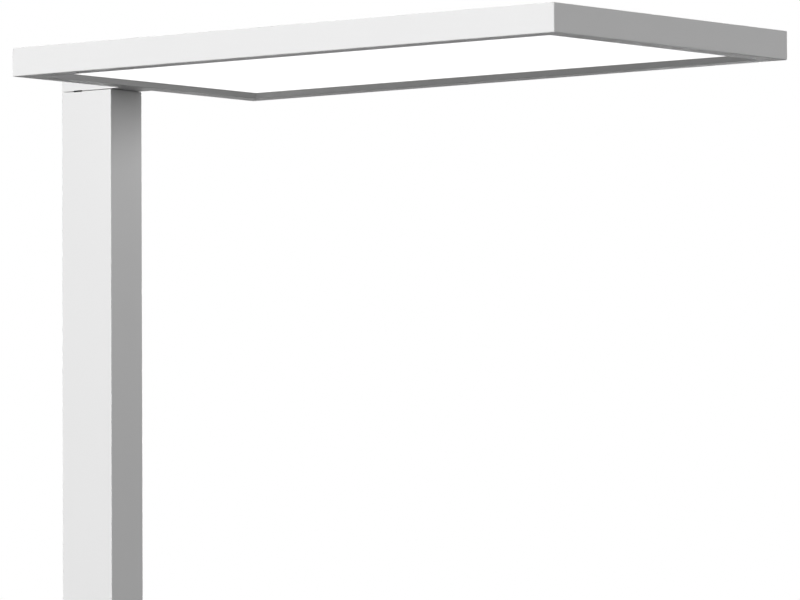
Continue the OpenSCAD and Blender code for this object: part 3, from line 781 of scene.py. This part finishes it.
def ribbon(name, path, width, face, zc, body, closed=False):
    """A printed line on a button's dish: a thin raised strip that follows it."""
    bm = bmesh.new()
    rows = []
    n = len(path)
    for i, (y, z) in enumerate(path):
        a = Vector(path[(i - 1) % n] if closed or i else path[i])
        b = Vector(path[(i + 1) % n] if closed or i < n - 1 else path[i])
        d = (b - a).normalized()
        s = Vector((-d.y, d.x)) * width / 2
        row = []
        for side, lift in ((1, -1), (1, 1), (-1, 1), (-1, -1)):
            p = Vector((y, z)) + s * side
            x = dish(p.length, face)
            row.append(bm.verts.new((x + (0.00006 if lift > 0 else -0.00012), p.x, zc + p.y)))
        rows.append(row)
    pairs = list(zip(rows, rows[1:])) + ([(rows[-1], rows[0])] if closed else [])
    for a, b in pairs:
        for i in range(4):
            j = (i + 1) % 4
            bm.faces.new((a[i], a[j], b[j], b[i]))
    if not closed:
        bm.faces.new(rows[0])
        bm.faces.new(rows[-1])
    o = new_object(name, bm, K["symbol_ink"], 40.0, False)
    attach(o, body)
    return o


def symbols(made):
    def line(a, b, steps=10):
        return [(a[0] + (b[0] - a[0]) * i / steps, a[1] + (b[1] - a[1]) * i / steps) for i in range(steps + 1)]

    w, r = 0.0007, 0.0027
    _, face, zc = made["brighter"]
    body = BODY_OF["button_brighter"]
    ribbon("symbol_plus_across", line((-r, 0), (r, 0)), w, face, zc, body)
    ribbon("symbol_plus_upper", line((0, w / 2), (0, r)), w, face, zc, body)
    ribbon("symbol_plus_lower", line((0, -w / 2), (0, -r)), w, face, zc, body)
    _, face, zc = made["dimmer"]
    ribbon("symbol_minus", line((-r, 0), (r, 0)), w, face, zc, BODY_OF["button_dimmer"])
    _, face, zc = made["power"]
    body = BODY_OF["button_power"]
    arc = [(r * math.sin(math.radians(t)), r * math.cos(math.radians(t))) for t in range(36, 325, 9)]
    ribbon("symbol_power_ring", arc, w * 0.9, face, zc, body)
    ribbon("symbol_power_bar", line((0, 0.0007), (0, 0.0033)), w * 0.9, face, zc, body)


def inlet():
    lo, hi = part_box("power_inlet")
    bm = cad_bmesh("power_inlet")
    round_edges(bm, lambda c: near(c.x, lo.x), 0.0004, 2, 25.0)
    finish_cad("power_inlet_skin", "power_inlet", bm)
    lo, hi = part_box("inlet_pins")
    bm = cad_bmesh("inlet_pins")
    round_edges(bm, lambda c: near(c.x, lo.x), 0.0005, 2)
    finish_cad("inlet_pins_skin", "inlet_pins", bm)


symbols(controls())
inlet()


# ------------------------------------------------------------------ floor, world and lights
PALE = 0.57


def floor():
    bm = bmesh.new()
    bmesh.ops.create_circle(bm, cap_ends=True, segments=96, radius=150)
    me = bpy.data.meshes.new("floor")
    bm.to_mesh(me)
    bm.free()
    o = bpy.data.objects.new("floor", me)
    SCENE.collection.objects.link(o)
    m = Mat("floor")
    m.color(m.mix(m.noise(0.6, 3.0), (0.61, 0.61, 0.61), (0.63, 0.63, 0.63)))
    m.rough(m.range(m.noise(12.0, 2.0), 0.75, 0.85))
    m.set(Specular_IOR_Level=0.2)
    m.bump((m.noise(60.0, 2.0), 0.05, 0.0005))
    # far from the lamp the floor turns into the plain backdrop
    length = m.t.nodes.new("ShaderNodeVectorMath")
    length.operation = "LENGTH"
    m.link(m.co, length.inputs[0])
    far = m.range(length.outputs["Value"], 0.0, 1.0, 1.2, 5.0)
    glow = m.t.nodes.new("ShaderNodeEmission")
    glow.inputs["Color"].default_value = (PALE, PALE, PALE, 1)
    both = m.t.nodes.new("ShaderNodeMixShader")
    m.link(far, both.inputs[0])
    m.link(m.p.outputs[0], both.inputs[1])
    m.link(glow.outputs[0], both.inputs[2])
    m.link(both.outputs[0], m.out.inputs["Surface"])
    me.materials.append(m.m)
    # it throws no light back and lets the low light through, which stands below it
    o.visible_diffuse = False
    o.visible_glossy = False
    o.visible_shadow = False


def world():
    w = bpy.data.worlds.new("studio")
    SCENE.world = w
    w.use_nodes = True
    t = w.node_tree
    t.nodes.clear()
    out = t.nodes.new("ShaderNodeOutputWorld")
    seen = t.nodes.new("ShaderNodeBackground")
    # a pale backdrop all round, lit to white behind the lamp as the picture sees it
    way = t.nodes.new("ShaderNodeTexCoord")
    toward = t.nodes.new("ShaderNodeVectorMath")
    toward.operation = "DOT_PRODUCT"
    toward.inputs[1].default_value = AHEAD
    t.links.new(way.outputs["Generated"], toward.inputs[0])
    lift = t.nodes.new("ShaderNodeMapRange")
    lift.interpolation_type = "SMOOTHSTEP"
    for k, v in zip(("From Min", "From Max", "To Min", "To Max"), (0.951, 0.9925, PALE, 1.0)):
        lift.inputs[k].default_value = v
    t.links.new(toward.outputs["Value"], lift.inputs["Value"])
    t.links.new(lift.outputs["Result"], seen.inputs["Color"])
    lit = t.nodes.new("ShaderNodeBackground")
    lit.inputs["Color"].default_value = (1, 1, 1, 1)
    lit.inputs["Strength"].default_value = 0.0643
    path = t.nodes.new("ShaderNodeLightPath")
    mix = t.nodes.new("ShaderNodeMixShader")
    t.links.new(path.outputs["Is Camera Ray"], mix.inputs[0])
    t.links.new(lit.outputs[0], mix.inputs[1])
    t.links.new(seen.outputs[0], mix.inputs[2])
    t.links.new(mix.outputs[0], out.inputs["Surface"])


def area(name, at, to, size, power):
    """A soft box at a point, facing another; power in watts."""
    d = bpy.data.lights.new(name, "AREA")
    d.shape = "RECTANGLE"
    d.size, d.size_y = size
    d.energy = power
    o = bpy.data.objects.new(name, d)
    SCENE.collection.objects.link(o)
    o.location = at
    o.rotation_euler = (Vector(to) - Vector(at)).to_track_quat("-Z", "Y").to_euler()
    o.visible_camera = False
    return o


floor()
world()
SCENE.view_settings.view_transform = "Standard"
# the first four boxes give the tones of the faces seen in the picture; the last two light only the back and the top
area("front", (-0.45, -7.0, 3.3), (-0.05, 0.0, 2.1), (1.0, 2.4), 482.2)
area("side", (6.5, 3.2, 2.45), (-0.1, 0.0, 2.15), (1.8, 1.4), 155.5)
area("side_back", (4.9, 5.2, 2.55), (-0.1, 0.0, 2.15), (1.8, 1.6), 21.4)
area("under", (-3.0, 3.8, -0.9), (-0.2, 0.0, 1.9), (2.0, 2.0), 28.7)
area("back", (-2.0, 5.0, 2.8), (0.0, 0.0, 1.2), (2.6, 2.6), 200.0)
area("overhead", (-0.35, 0.55, 5.0), (0.0, 0.1, 1.5), (1.2, 1.2), 50.0)
glow = area("panel_glow", (HXM, 0, HZ + RECESS - 0.0001), (HXM, 0, 0), (HX1 - HX0 - 2 * BAND, 2 * HW - 2 * BAND), 0.1836)
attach(glow, "head")
